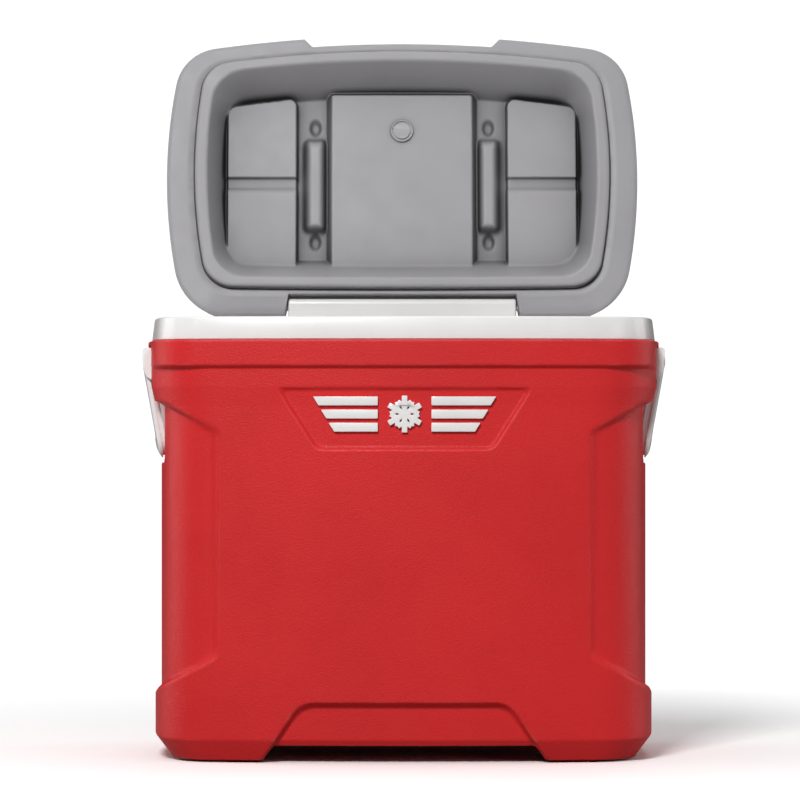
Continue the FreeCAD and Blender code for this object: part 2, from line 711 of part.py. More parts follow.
def lid_block(inset):
    """The lid's outside as a full block, offset inwards by inset."""
    block = loft(
        outline(LID_EDGE, LID_FLANGE_Z + inset, inset),
        outline(LID_CROWN, LID_TOP_Z - inset, inset),
    )
    block = round_level(block, LID_TOP_Z - inset, LID_TOP_ROUND - inset)
    block = round_level(block, LID_FLANGE_Z + inset, LID_EDGE_ROUND)
    notch = box(
        (-NOTCH_HALF_WIDTH - inset, HINGE_Y - NOTCH_AHEAD - inset * 0.9, LID_FLANGE_Z - 5),
        (NOTCH_HALF_WIDTH + inset, HINGE_Y + 60, LID_TOP_Z + 5),
    )
    finger_region = prism(
        [
            (-FINGER_NOTCH_X[0] - inset, -160, LID_FLANGE_Z - 5),
            (FINGER_NOTCH_X[0] + inset, -160, LID_FLANGE_Z - 5),
            (FINGER_NOTCH_X[1] + inset, -LID_EDGE[1] + FINGER_NOTCH_DEPTH + 12, LID_FLANGE_Z - 5),
            (-FINGER_NOTCH_X[1] - inset, -LID_EDGE[1] + FINGER_NOTCH_DEPTH + 12, LID_FLANGE_Z - 5),
        ],
        (0, 0, FINGER_NOTCH_TOP + inset - LID_FLANGE_Z + 5),
    )
    keep_depth = FINGER_NOTCH_DEPTH + inset
    keep = loft(outline(LID_EDGE, 380, keep_depth), outline(LID_EDGE, 460, keep_depth))
    return block.cut([notch, finger_region.cut(keep), lid_heel_cutter(LID_HEEL_RADIUS - inset)])


def lid_ears():
    """Bosses inside the lid at both ends of its rear notch."""
    length = HINGE_PIN_X[1] + 4 - NOTCH_HALF_WIDTH
    ears = []
    for side in (-1, 1):
        start = (side * NOTCH_HALF_WIDTH, HINGE_Y, HINGE_Z)
        ears.append(rod(start, (side, 0, 0), HINGE_EAR_RADIUS, length))
    return ears


def lid_shell():
    """Grey outer shell of the lid with the flange that lies on the rim."""
    skirt = lid_block(0).cut(lid_block(LID_WALL))
    hole = loft(
        outline(RIDGE, LID_FLANGE_Z - 1, 0, MOUTH_Y),
        outline(RIDGE, LID_FLANGE_Z + LID_WALL, 0, MOUTH_Y),
    )
    ears = [ear.common(lid_block(0)) for ear in lid_ears()]
    solid = joined([skirt.cut(hole)] + ears)
    bore_start = (-HINGE_PIN_X[1] - 1, HINGE_Y, HINGE_Z)
    bore = rod(bore_start, (1, 0, 0), HINGE_PIN_RADIUS + RUNNING_GAP, 2 * (HINGE_PIN_X[1] + 1))
    return opened(solid.cut(bore))


def lid_ridge():
    """Raised ring that drops into the body's mouth, with the lip that joins it to the shell."""
    taper = [value - 1.2 for value in RIDGE]
    ring = loft(
        outline(taper, LID_FLANGE_Z - RIDGE_DROP, 0, MOUTH_Y),
        outline(RIDGE, LID_FLANGE_Z, 0, MOUTH_Y),
        outline(RIDGE, LID_FLANGE_Z + LID_WALL, 0, MOUTH_Y),
    )
    ring = round_level(ring, LID_FLANGE_Z - RIDGE_DROP, 3)
    lip = loft(
        outline(RIDGE, LID_FLANGE_Z + LID_WALL, -1.4, MOUTH_Y),
        outline(RIDGE, LID_FLANGE_Z + 2 * LID_WALL, -1.4, MOUTH_Y),
    )
    return joined([ring, lip])


def tack_cones(grow):
    """Conical dimples at both ends of each bar."""
    cones = []
    for side in (-1, 1):
        for y in TACK_Y:
            centre = Vector(side * (BAR_X[0] + BAR_X[1]) / 2, y, RECESS_FLOOR_Z - 1)
            cones.append(Part.makeCone(8 + grow, 5 + grow, TACK_Z + grow - RECESS_FLOOR_Z + 1, centre))
    return cones


def island(x_range, y_range, z, grow, corner, slant=0.0):
    """Raised pad of the recess, thinned by the wall when it shapes the foam side, with a slanted front edge."""
    near_x, far_x = (x_range[0] + grow, x_range[1] - grow)
    front_y, rear_y = (y_range[0] + grow, y_range[1] - grow)
    corners = [
        (near_x, front_y, z + grow),
        (far_x, front_y + slant, z + grow),
        (far_x, rear_y, z + grow),
        (near_x, rear_y, z + grow),
    ]
    return round_along(prism(corners, (0, 0, LID_TOP_Z - z - grow)), (0, 0, 1), corner)


def lid_islands(grow):
    """The middle pad, the two side pads with a groove across each, and the two bars, which are solid."""
    islands = [island((-MIDDLE_PAD_X, MIDDLE_PAD_X), MIDDLE_PAD_Y, PAD_Z, grow, 3)]
    groove_low = (SIDE_PAD_X[0] - 5, GROOVE_Y[0] - grow, PAD_Z - 5)
    groove = box(groove_low, (SIDE_PAD_X[1] + 5, GROOVE_Y[1] + grow, GROOVE_Z + grow))
    side_pad = island(SIDE_PAD_X, SIDE_PAD_Y, PAD_Z, grow, 6, SIDE_PAD_SLANT)
    islands += both_sides(side_pad.cut(groove))
    if not grow:
        islands += both_sides(island(BAR_X, BAR_Y, BAR_Z, 0, 4))
    return islands


def lid_recess(grow):
    """Hollow in the lid's underside, grown by the wall for its foam side."""
    bowl = loft(
        outline(RIDGE_MOUTH, LID_FLANGE_Z - RIDGE_DROP - 1, -grow, MOUTH_Y),
        outline(RECESS_FLOOR, RECESS_FLOOR_Z + grow, -grow, RECESS_FLOOR_Y),
    )
    return joined([bowl] + tack_cones(grow)).cut(lid_islands(grow))


def lid_plug_place():
    """Where the axis of the lid's fill plug meets the middle pad."""
    return (0, PLUG_Y, PAD_Z)


def lid_liner():
    """Grey food-side tray of the lid with pads, channels and the ridge."""
    grown = lid_recess(LID_LINER_WALL).cut(box((-300, -200, 300), (300, 200, LID_FLANGE_Z - RIDGE_DROP)))
    solid = joined([lid_ridge(), grown]).cut(lid_recess(0))
    return opened(solid.cut(rod(lid_plug_place(), (0, 0, 1), 8, 10)))


def lid_foam():
    """Foam between the lid's shell and its liner."""
    filled = [lid_ridge(), lid_recess(LID_LINER_WALL)] + lid_ears()
    return opened(lid_block(LID_WALL).cut(filled))


def lid_fill_plug():
    """Round plug in the middle pad, with a groove around its face."""
    x, y, z = lid_plug_place()
    flange_radius, flange_height = PLUG_FLANGE
    stem_radius, stem_length = PLUG_STEM
    outer_radius, inner_radius, depth = PLUG_GROOVE
    flange = rod((x, y, z - flange_height), (0, 0, 1), flange_radius, flange_height)
    stem = rod((x, y, z), (0, 0, 1), stem_radius, stem_length)
    groove_start = (x, y, z - flange_height - 1)
    groove = rod(groove_start, (0, 0, 1), outer_radius, depth + 1)
    groove = groove.cut(rod(groove_start, (0, 0, 1), inner_radius, depth + 1))
    return opened(joined([flange, stem]).cut(groove))


def mirrored_names(name, solid):
    """The right-hand piece and its left-hand mirror image, with their names."""
    right, left = both_sides(solid)
    return {"right_" + name: right, "left_" + name: left}


def all_parts():
    """Every piece of the cooler by name."""
    parts = {
        "body_shell": body_shell(),
        "body_liner": body_liner(),
        "body_foam": body_foam(),
        "base_fill_plug": base_fill_plug(),
        "badge": badge(),
        "hinge_block": hinge_block(),
        "hinge_block_screws": hinge_block_screws(),
        "hinge_pin_left": hinge_pin(-1),
        "hinge_pin_right": hinge_pin(1),
        "lid_shell": lid_shell(),
        "lid_liner": lid_liner(),
        "lid_foam": lid_foam(),
        "lid_fill_plug": lid_fill_plug(),
        "right_bracket_screws": bracket_screws(1),
        "left_bracket_screws": bracket_screws(-1),
    }
    parts.update(mirrored_names("handle", handle()))
    for end, place in ((-1, "front"), (1, "rear")):
        parts.update(mirrored_names(place + "_bracket", handle_bracket(end)))
        parts.update(mirrored_names(place + "_handle_pin", handle_pin(end)))
    return parts


os.makedirs("parts", exist_ok=True)
for node, drawn in all_parts().items():
    shape = placed(drawn)
    volume_cm3 = sum(solid.Volume for solid in shape.Solids) / 1000
    print(node, len(shape.Solids), "solid(s)", round(volume_cm3, 1), "cm3", "valid", shape.isValid())
    shape.exportStep("parts/" + node + ".step")
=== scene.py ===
import json
import math

import bpy
import numpy as np
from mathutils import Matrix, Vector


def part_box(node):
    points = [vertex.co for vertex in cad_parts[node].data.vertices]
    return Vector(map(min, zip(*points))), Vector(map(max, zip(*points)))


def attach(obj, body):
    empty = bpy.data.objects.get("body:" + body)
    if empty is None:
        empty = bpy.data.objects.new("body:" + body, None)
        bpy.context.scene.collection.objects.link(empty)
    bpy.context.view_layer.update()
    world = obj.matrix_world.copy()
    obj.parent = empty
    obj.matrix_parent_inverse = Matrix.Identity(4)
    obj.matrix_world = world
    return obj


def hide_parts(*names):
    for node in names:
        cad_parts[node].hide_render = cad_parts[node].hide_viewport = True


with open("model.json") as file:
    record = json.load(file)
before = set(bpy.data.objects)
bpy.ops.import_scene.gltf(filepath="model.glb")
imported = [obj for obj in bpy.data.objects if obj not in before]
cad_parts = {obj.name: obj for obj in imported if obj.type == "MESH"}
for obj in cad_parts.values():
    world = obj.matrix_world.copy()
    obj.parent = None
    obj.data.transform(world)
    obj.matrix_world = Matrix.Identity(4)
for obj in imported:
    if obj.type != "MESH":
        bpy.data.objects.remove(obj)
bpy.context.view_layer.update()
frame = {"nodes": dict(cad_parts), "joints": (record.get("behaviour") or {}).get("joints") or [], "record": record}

# All lengths are in metres: +X right, -Y front, +Z up. Shapes are worked out about the middle of the body's
# plan and moved by MIDDLE_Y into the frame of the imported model.
shell_low, shell_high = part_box("body_shell")
MIDDLE_Y = (shell_low.y + shell_high.y) / 2
_, tray_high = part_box("lid_liner")
lid_hinge = next(joint for joint in frame["joints"] if joint["name"] == "lid_hinge")

# Body: the band round its top has its full width and depth, and the soles of its feet stand on low nubs.
BODY_X = shell_high.x
BODY_Y = shell_high.y - MIDDLE_Y
BODY_TOP = shell_high.z
NUB_HEIGHT = 0.0022
FRONT_CROWN_RADIUS = 1.27
REAR_CROWN_RADIUS = 12.0
SIDE_CROWN_RADIUS = 0.506

# Sections of the outside as (height above the sole, half width, half depth, corner radius)
BAND_BOTTOM = 0.3535
BODY_SECTIONS = [
    (0.0, BODY_X - 0.0208, BODY_Y - 0.019, 0.042),
    (0.0185, BODY_X - 0.0066, BODY_Y - 0.0094, 0.054),
    (0.0574, BODY_X - 0.0066, BODY_Y - 0.0086, 0.056),
    (0.319, BODY_X - 0.0044, BODY_Y - 0.005, 0.062),
    (0.336, BODY_X - 0.0002, BODY_Y - 0.0042, 0.064),
    (BAND_BOTTOM, BODY_X - 0.0002, BODY_Y - 0.0042, 0.064),
    (BAND_BOTTOM + 0.0008, BODY_X, BODY_Y, 0.048),
    (BODY_TOP, BODY_X, BODY_Y, 0.048),
]
PANEL_SECTIONS = [
    (0.0, BODY_X - 0.0122, BODY_Y - 0.0124, 0.050),
    (BODY_TOP, BODY_X - 0.0122, BODY_Y - 0.0088, 0.054),
]
PANEL_EDGE_X = 0.169
PANEL_SIDE_X = 0.2236
PANEL_LOW_EDGE = (0.095, 0.0654)
PANEL_HIGH_EDGE = (0.295, 0.321)
BADGE_RECESS = {"top": (0.1125, 0.334), "bottom": (0.0785, 0.2804), "corner": 0.006, "depth": 0.003}
BASE_RECESS = {"top": (0.093, 0.051), "bottom": (0.135, -0.012), "corner": 0.011, "depth": 0.007}
BASE_HEIGHT = 0.0134
BASE_SOLE_X = 0.127
BAY_FLOOR_X = 0.211
BAY_HALF_WIDTH = 0.075
BAY_HEIGHTS = (0.268, 0.3734)
BAY_MIDDLE_HALF_WIDTH = 0.037
BAY_MIDDLE_LOW = 0.351
NUB_X = (0.129, 0.174)
NUB_Y = (0.097, 0.112)
RIM_OPENING = (BODY_X - 0.0115, BODY_Y - 0.0109, 0.0395)
INNER_SKIN = (0.2075, 0.1285, 0.046)

# Lid tray, described closed: height runs from the tray's floor down to the ridge's crest.
RIDGE_X = tray_high.x - 0.0014
RIDGE = (RIDGE_X, 0.1177, 0.031)
RIDGE_MOUTH = (RIDGE_X - 0.0125, 0.1071, 0.024)
RIDGE_Y = -0.006
TRAY_FLOOR = (RIDGE_X - 0.0315, 0.0805, 0.018)
TRAY_FLOOR_Y = -0.0035
TRAY_FLOOR_Z = 0.427 + NUB_HEIGHT
TRAY_WALL = 0.002
CREST = 0.0356
FLANGE = 0.0276
PAD = 0.012
SIDE_PAD_SLOPE = 0.0018
MIDDLE_PAD_SLOPE = 0.0055
SIDE_PAD_X = (0.102, 0.168)
SIDE_PAD_Y = (-0.0811, 0.100)
SIDE_PAD_SLANT = 0.13
MIDDLE_PAD_X = 0.0675
MIDDLE_PAD_Y = (-0.0844, 0.100)
GROOVE_Y = (-0.0019, 0.0092)
GROOVE_DEPTH = 0.004
BAR = 0.009
BAR_X = (0.075, 0.092)
BAR_Y = (-0.0398, 0.0476)
TACK_Y = (-0.0541, 0.0593)
STRAIGHT_X = 0.1715
STRAIGHT_Y = 0.0875
TRAY_FINE = 0.0009
TRAY_COARSE = 0.004
TRAY_BORDER = 0.002
TRAY_RINGS = 20
CREST_ROUND = 0.003
RIDGE_ROUND = 0.0042
TACK_RADIUS = 0.003
TACK_SLOPE = 0.0032
TACK_DEPTH = 0.0034

# Lid shell, described closed: flange, rounded edge, outer wall and top
LID_EDGE = (BODY_X - 0.0098, BODY_Y - 0.006, 0.044, 0.057)
LID_CROWN = (BODY_X - 0.0138, BODY_Y - 0.010, 0.041, 0.054)
FLANGE_Z = 0.3994 + NUB_HEIGHT
LID_TOP_Z = 0.433 + NUB_HEIGHT
LID_WALL = 0.0025
LID_CROWN_ROUND = 0.013
LID_INNER_ROUND = 0.0105
LID_SIDE_LEAN = 0.7
FLANGE_ROUND = 0.0045
FLANGE_EDGE = 0.003
TRAY_GAP = 0.0006
HEEL_RADIUS = 0.0144
NOTCH_HALF_WIDTH = 0.110
NOTCH_Y = 0.1155
FINGER_NOTCH_X = (0.086, 0.094)
FINGER_NOTCH_DEPTH = 0.009
FINGER_NOTCH_TOP = 0.424 + NUB_HEIGHT

# Colours as they are and where they are rubbed, and how far round it a hollow looks for the painted shade in its
# corners
RED = (0.68, 0.019, 0.021)
RED_WORN = (0.78, 0.10, 0.09)
WHITE = (0.88, 0.87, 0.86)
WHITE_WORN = (0.90, 0.89, 0.87)
GREY = (0.360, 0.352, 0.368)
GREY_WORN = (0.47, 0.46, 0.48)
HOLLOW_SHADE_REACH = 0.06
EDGE_SOFTNESS = 0.0006


def smooth_step(distance, width):
    """0 to 1 across a border of the given width, 1 where the distance is positive."""
    share = np.clip(distance / width + 0.5, 0, 1)
    return share * share * (3 - 2 * share)


def soft_least(first, second, reach):
    """The lesser of two arrays, rounded where they cross."""
    near = np.maximum(reach - np.abs(first - second), 0) / reach
    return np.minimum(first, second) - near * near * reach / 4


def ramp(distance, slope, softness):
    """0 to 1 up a straight slope that ends where the distance is zero, rounded a little at both ends."""
    share = soft_least(distance / slope + 1, np.ones_like(distance), softness)
    return -soft_least(-share, np.zeros_like(share), softness)


def inside_rectangle(a, b, half_a, half_b, corner):
    """Distance into a rounded rectangle about the origin, negative outside it."""
    over_a = np.abs(a) - half_a + corner
    over_b = np.abs(b) - half_b + corner
    outside = np.hypot(np.maximum(over_a, 0), np.maximum(over_b, 0))
    return corner - outside - np.minimum(np.maximum(over_a, over_b), 0)


def inside_range(a, b, range_a, range_b, corner):
    """Distance into a rounded rectangle given by its ranges along a and b."""
    half_a = (range_a[1] - range_a[0]) / 2
    half_b = (range_b[1] - range_b[0]) / 2
    return inside_rectangle(a - range_a[0] - half_a, b - range_b[0] - half_b, half_a, half_b, corner)


def inside_trapezoid(x, z, recess):
    """Distance into an upright trapezoid that is symmetric about x = 0."""
    top_x, top_z = recess["top"]
    bottom_x, bottom_z = recess["bottom"]
    slope = (top_x - bottom_x) / (top_z - bottom_z)
    edge_x = bottom_x + slope * (z - bottom_z)
    across = (edge_x - np.abs(x)) / math.hypot(1, slope)
    upright = soft_least(top_z - z, z - bottom_z, recess["corner"])
    return soft_least(across, upright, recess["corner"])


def spaced(length, fine, coarse, places, reach):
    """Positions from 0 to length, fine near the given places and coarse elsewhere."""
    along = np.linspace(0, length, 4000)
    step = np.full_like(along, coarse)
    for low, high in places:
        beyond = np.maximum(np.maximum(low - along, along - high), 0)
        share = smooth_step(beyond - reach, reach)
        step = np.minimum(step, fine + (coarse - fine) * share)
    count = np.concatenate([[0], np.cumsum((along[1] - along[0]) / step[1:])])
    total = max(2, round(count[-1]))
    return np.interp(np.linspace(0, count[-1], total + 1), count, along)


def corner_geometry(half_x, half_y, corner, long_radius):
    """Centres and angles of a quarter outline: long side at -Y, corner arc, short side at +X."""
    short_radius = SIDE_CROWN_RADIUS
    long_y = long_radius - half_y
    short_x = half_x - short_radius
    span = np.hypot(short_x, long_y)
    ahead_x = short_x / span
    ahead_y = -long_y / span
    along = ((long_radius - corner) ** 2 - (short_radius - corner) ** 2 + span ** 2) / (2 * span)
    aside = np.sqrt((long_radius - corner) ** 2 - along ** 2)
    centre_x = ahead_x * along - ahead_y * aside
    centre_y = long_y + ahead_y * along + ahead_x * aside
    long_angle = np.arctan2(centre_x, long_y - centre_y)
    short_angle = np.arctan2(centre_x - short_x, -centre_y)
    return long_y, short_x, centre_x, centre_y, long_angle, short_angle


def arc_lengths(size, long_radius):
    """Lengths of a quarter outline's half long side, corner arc and half short side."""
    _, _, _, _, long_angle, short_angle = corner_geometry(*size[:3], long_radius)
    corner = size[2] * (short_angle - long_angle)
    return np.array([long_radius * long_angle, corner, SIDE_CROWN_RADIUS * (math.pi / 2 - short_angle)])


def quarter_places(size, long_radius, along):
    """Arc (0 long, 1 corner, 2 short) and share along it, at distances from the long side's middle."""
    lengths = arc_lengths(size, long_radius)
    ends = np.concatenate([[0], np.cumsum(lengths)])
    kind = np.clip(np.searchsorted(ends, along, side="right") - 1, 0, 2)
    return kind, np.clip((along - ends[kind]) / lengths[kind], 0, 1)


def quarter_points(size, long_radius, kind, share):
    """Plan positions on the quarter outline between -Y and +X."""
    half_x, half_y, corner = size[:3]
    geometry = corner_geometry(half_x, half_y, corner, long_radius)
    long_y, short_x, centre_x, centre_y, long_angle, short_angle = geometry
    starts = (0, long_angle, short_angle)
    sweeps = (long_angle, short_angle - long_angle, math.pi / 2 - short_angle)
    angle = np.choose(kind, [start + share * sweep for start, sweep in zip(starts, sweeps)])
    x = np.choose(kind, [np.zeros_like(share), centre_x, short_x])
    y = np.choose(kind, [long_y, centre_y, np.zeros_like(share)])
    bend = np.choose(kind, [long_radius, corner, SIDE_CROWN_RADIUS])
    return x + bend * np.sin(angle), y - bend * np.cos(angle)


def outline_columns(size, fine, coarse, places, reach):
    """Points round an outline, as arc kind, share, sign of x and whether each is on the front half."""
    quarters = []
    for radius in (FRONT_CROWN_RADIUS, REAR_CROWN_RADIUS):
        length = arc_lengths(size, radius).sum()
        quarters.append(quarter_places(size, radius, spaced(length, fine, coarse, places, reach)))
    columns = []
    for half, side_x, backwards in ((0, 1, False), (1, 1, True), (1, -1, False), (0, -1, True)):
        kind, share = quarters[half]
        if backwards:
            kind, share = kind[::-1], share[::-1]
        for index in range(len(kind) - 1):
            columns.append((kind[index], share[index], side_x, 1 - half))
    kind, share, side_x, front = np.array(columns).T
    return kind.astype(int), share, side_x, front.astype(bool)


def column_points(columns, size):
    """Plan positions of the columns for sizes given as numbers or as arrays with one column per point."""
    kind, share, side_x, front = columns
    front_x, front_y = quarter_points(size, FRONT_CROWN_RADIUS, kind, share)
    rear_size = (size[0], size[1], size[-1])
    rear_x, rear_y = quarter_points(rear_size, REAR_CROWN_RADIUS, kind, share)
    return np.where(front, front_x, rear_x) * side_x, np.where(front, front_y, -rear_y)


def section_sizes(sections, height, softness):
    """Half width, half depth and corner radius at each height, rounded over the given softness."""
    stations = np.array(sections)
    sizes = [np.zeros_like(height) for _ in range(3)]
    offsets = np.linspace(-1.5, 1.5, 7)
    weights = np.exp(-offsets ** 2)
    weights /= weights.sum()
    for offset, weight in zip(offsets, weights):
        at = np.clip(height + offset * softness, stations[0, 0], stations[-1, 0])
        for index in range(3):
            sizes[index] += weight * np.interp(at, stations[:, 0], stations[:, index + 1])
    return sizes


def base_height(x):
    """Height of the underside above the sole: the channel between the feet, or 0 under them."""
    top_x, top_z = BASE_RECESS["top"]
    bottom_x, bottom_z = BASE_RECESS["bottom"]
    slope = (top_z - bottom_z) / (bottom_x - top_x)
    rise = (BASE_SOLE_X - np.abs(x)) * slope
    return np.clip(soft_least(rise, np.full_like(rise, BASE_HEIGHT), 0.003), 0, None)


def side_panel_mask(x, z):
    """1 on the set-in panels of the sides and corners."""
    across = np.abs(x) - PANEL_EDGE_X
    low = np.interp(np.abs(x), [PANEL_EDGE_X, PANEL_SIDE_X, PANEL_SIDE_X + 0.0056],
                    [PANEL_LOW_EDGE[0], PANEL_LOW_EDGE[1], PANEL_LOW_EDGE[1] - 0.008])
    high = np.interp(np.abs(x), [PANEL_EDGE_X, PANEL_SIDE_X - 0.004], PANEL_HIGH_EDGE)
    distance = soft_least(soft_least(across, (z - low) * 0.88, 0.006), (high - z) * 0.9, 0.006)
    return smooth_step(distance, 0.0055)


def body_wall(columns, rows):
    """The outside of the body from its lower edge to its upper edge, with all its recesses."""
    rows = rows[:, None] * np.ones(len(columns[0]))
    x, _ = column_points(columns, section_sizes(BODY_SECTIONS, rows, 0.001))
    foot_top = BODY_SECTIONS[2][0]
    base = base_height(x[0])[None, :]
    z = np.where(rows < foot_top, base + rows * (foot_top - base) / foot_top, rows)
    x, y = column_points(columns, section_sizes(BODY_SECTIONS, z, 0.001))
    panel_x, panel_y = column_points(columns, section_sizes(PANEL_SECTIONS, z, 0.001))
    mask = side_panel_mask(x, z)
    x = x + (panel_x - x) * mask
    y = y + (panel_y - y) * mask
    badge = smooth_step(inside_trapezoid(x, z, BADGE_RECESS), 0.004) * (y < 0) * BADGE_RECESS["depth"]
    front_or_rear = np.abs(y) > 0.09
    feet = smooth_step(inside_trapezoid(x, z, BASE_RECESS), 0.005) * front_or_rear * BASE_RECESS["depth"]
    y = y - np.sign(y) * (badge + feet)
    middle = sum(BAY_HEIGHTS) / 2
    half_height = (BAY_HEIGHTS[1] - BAY_HEIGHTS[0]) / 2
    bay = inside_rectangle(y, z - middle, BAY_HALF_WIDTH, half_height, 0.008)
    kept = inside_rectangle(y, z - BAY_MIDDLE_LOW - half_height, BAY_MIDDLE_HALF_WIDTH, half_height, 0.005)
    bay = smooth_step(np.minimum(bay, -kept), 0.003) * (np.abs(x) > BAY_FLOOR_X)
    x = x + (np.sign(x) * BAY_FLOOR_X - x) * bay
    return np.stack([x, y, z + NUB_HEIGHT], axis=-1)


def underside(edge):
    """Rings from the middle of the underside out to the given lower edge."""
    shares = np.concatenate([np.linspace(0.06, 0.72, 9), np.linspace(0.74, 0.99, 20)])
    rings = []
    for share in shares:
        x = edge[:, 0] * share
        y = edge[:, 1] * share
        nub = inside_rectangle(np.abs(x) - sum(NUB_X) / 2, np.abs(y) - sum(NUB_Y) / 2,
                               (NUB_X[1] - NUB_X[0]) / 2, (NUB_Y[1] - NUB_Y[0]) / 2, 0.007)
        z = base_height(x) - NUB_HEIGHT * smooth_step(nub - 0.0007, 0.0014)
        rings.append(np.stack([x, y, z + NUB_HEIGHT], axis=-1))
    return rings


def level_ring(columns, size, z):
    """One ring at a height above the floor."""
    x, y = column_points(columns, size)
    return np.stack([x, y, np.full_like(x, z)], axis=-1)


def shrunk(size, inset):
    """An outline's sizes, offset inwards."""
    return tuple(value - inset for value in size)


def new_piece(name, vertices, faces):
    """Mesh object with smooth faces."""
    mesh = bpy.data.meshes.new(name)
    moved = np.array(vertices) + (0, MIDDLE_Y, 0)
    mesh.from_pydata(moved.tolist(), [], faces)
    mesh.shade_smooth()
    piece = bpy.data.objects.new(name, mesh)
    bpy.context.scene.collection.objects.link(piece)
    return piece


def ring_piece(name, rings):
    """Closed solid from rings of equal length, with a fan over the first and the last ring."""
    rings = np.array(rings)
    count, around, _ = rings.shape
    vertices = rings.reshape(-1, 3).tolist()
    faces = []
    for row in range(count - 1):
        for column in range(around):
            beside = (column + 1) % around
            low, high = row * around, (row + 1) * around
            faces.append((low + column, low + beside, high + beside, high + column))
    for row, turned in ((0, True), (count - 1, False)):
        middle = len(vertices)
        vertices.append(rings[row].mean(axis=0).tolist())
        for column in range(around):
            here = row * around + column
            beside = row * around + (column + 1) % around
            faces.append((beside, here, middle) if turned else (here, beside, middle))
    return new_piece(name, vertices, faces)


def body_shell():
    """Red shell: underside, walls with their recesses, the ledge under the rim, and the inside."""
    length = arc_lengths(BODY_SECTIONS[-1][1:], FRONT_CROWN_RADIUS).sum()
    bay_edge = length - BAY_HALF_WIDTH
    middle_edge = length - BAY_MIDDLE_HALF_WIDTH
    columns = outline_columns(BODY_SECTIONS[-1][1:], 0.0014, 0.0042, [
        (0.079, 0.134), (0.166, 0.176), (bay_edge - 0.003, bay_edge + 0.003),
        (middle_edge - 0.003, middle_edge + 0.003)], 0.004)
    rows = spaced(BODY_TOP - NUB_HEIGHT - 0.0015, 0.0011, 0.0036, [
        (0.0, 0.022), (0.050, 0.1), (0.266, 0.27), (0.279, 0.283), (0.293, 0.337), (0.349, 0.378)], 0.004)
    wall = body_wall(columns, rows)
    rings = underside(wall[0]) + list(wall)
    band = BODY_SECTIONS[-1][1:]
    for angle in (30, 60, 90):
        turn = math.radians(angle)
        rings.append(level_ring(columns, shrunk(band, 0.0015 * (1 - math.cos(turn))),
                                BODY_TOP - 0.0015 * (1 - math.sin(turn))))
    inner_top = BODY_TOP - 0.003
    rings.append(level_ring(columns, shrunk(band, 0.004), BODY_TOP))
    rings.append(level_ring(columns, RIM_OPENING, BODY_TOP))
    rings.append(level_ring(columns, RIM_OPENING, inner_top))
    rings.append(level_ring(columns, INNER_SKIN, inner_top))
    floor_z = BASE_HEIGHT + 0.003 + NUB_HEIGHT
    for z in np.linspace(inner_top, floor_z, 12)[1:]:
        rings.append(level_ring(columns, INNER_SKIN, z))
    for share in (0.8, 0.55, 0.3, 0.08):
        ring = level_ring(columns, INNER_SKIN, floor_z)
        rings.append(ring * (share, share, 1))
    return ring_piece("red_shell", rings)


def opened(points):
    """Turn points of the closed lid to its open position."""
    hinge = np.array(lid_hinge["pos_m"]) - (0, MIDDLE_Y, 0)
    angle = math.radians(lid_hinge["range_deg"][1])
    away = points - hinge
    y = away[..., 1] * math.cos(angle) + away[..., 2] * math.sin(angle)
    z = -away[..., 1] * math.sin(angle) + away[..., 2] * math.cos(angle)
    return np.stack([away[..., 0], y, z], axis=-1) + hinge


def inside_outline(x, y, size, centre_y):
    """Distance into a crowned outline, negative outside it."""
    half_x, half_y, corner = size
    y = y - centre_y
    front = np.hypot(x, y - FRONT_CROWN_RADIUS + half_y) - FRONT_CROWN_RADIUS + corner
    rear = np.hypot(x, y + REAR_CROWN_RADIUS - half_y) - REAR_CROWN_RADIUS + corner
    side = np.hypot(np.abs(x) - half_x + SIDE_CROWN_RADIUS, y) - SIDE_CROWN_RADIUS + corner
    long = np.where(y < 0, front, rear)
    outside = np.hypot(np.maximum(long, 0), np.maximum(side, 0))
    return corner - outside - np.minimum(np.maximum(long, side), 0)


def tray_height(x, y):
    """Height of the lid's tray above its floor, towards the food."""
    outer = inside_outline(x, y, RIDGE_MOUTH, RIDGE_Y)
    beyond = np.clip(-inside_outline(x, y, TRAY_FLOOR, TRAY_FLOOR_Y), 0, None)
    wall = CREST * beyond / (beyond + np.maximum(outer, -0.011))
    away = np.abs(x)
    middle = inside_range(x, y, (-MIDDLE_PAD_X, MIDDLE_PAD_X), MIDDLE_PAD_Y, 0.002)
    middle = ramp(middle, MIDDLE_PAD_SLOPE, 0.12)
    slanted = y - SIDE_PAD_SLANT * np.clip(away - SIDE_PAD_X[0], 0, None) * (y < 0)
    side = ramp(inside_range(away, slanted, SIDE_PAD_X, SIDE_PAD_Y, 0.008), SIDE_PAD_SLOPE, 0.2)
    groove_y = inside_range(y, y, GROOVE_Y, GROOVE_Y, 0.0)
    groove = ramp(groove_y, 0.0015, 0.4) * GROOVE_DEPTH
    bar = ramp(inside_range(away, y, BAR_X, BAR_Y, 0.004) - 0.002, 0.005, 0.7) * BAR
    floor = np.maximum(np.maximum(middle * PAD, side * PAD - groove * (side > 0)), bar)
    height = -soft_least(-floor, -wall, 0.002)
    for place in TACK_Y:
        hole = np.hypot(away - sum(BAR_X) / 2, (y - place) * 0.7)
        height = height - TACK_DEPTH * ramp(TACK_RADIUS - hole, TACK_SLOPE, 0.3)
    return soft_least(height, np.full_like(height, CREST), 0.0016)


